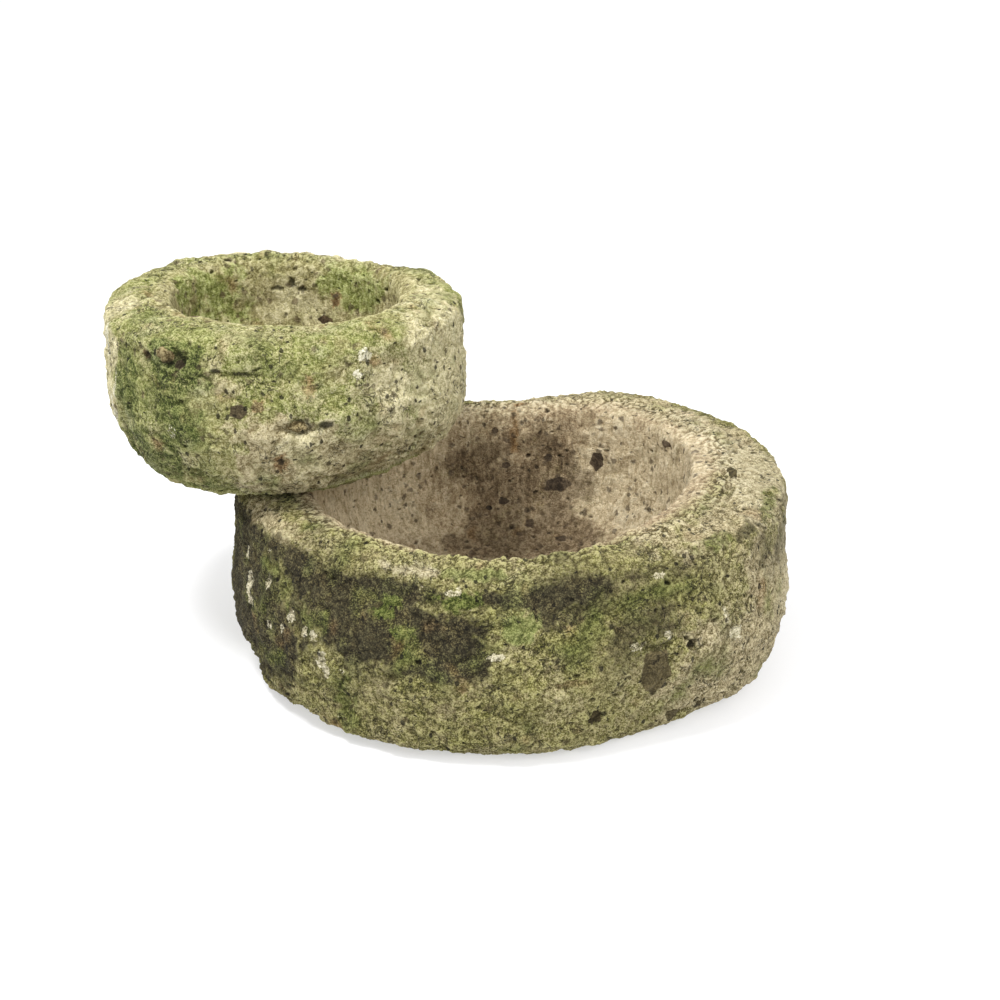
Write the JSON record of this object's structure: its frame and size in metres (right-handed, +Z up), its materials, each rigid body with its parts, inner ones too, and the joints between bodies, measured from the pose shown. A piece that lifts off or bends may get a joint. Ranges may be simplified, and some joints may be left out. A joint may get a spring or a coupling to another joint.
{
  "type": "stone basin pair",
  "caption": "Rough-hewn mossy tuff font basin with a smaller tuff basin standing loose on its rim.",
  "frame": {"origin": "centre of the large basin's base, on the surface it stands on", "axes": "+Z up, -Y the front, +X to the right: the small basin stands on the left of the rim, at -X"},
  "size_m": [0.7307, 0.5625, 0.3799],
  "materials": {
    "large_tuff": "rough hewn, mossy",
    "small_tuff": "rough hewn, mossy"
  },
  "bodies": {
    "large_basin": {"large_basin": "large_tuff"},
    "small_basin": {"small_basin": "small_tuff"}
  },
  "joints": [
    {"name": "small_basin_lift", "type": "slide", "parent": "large_basin", "child": "small_basin", "axis": [0, 0, 1], "range_m": [0, 0.3]}
  ]
}
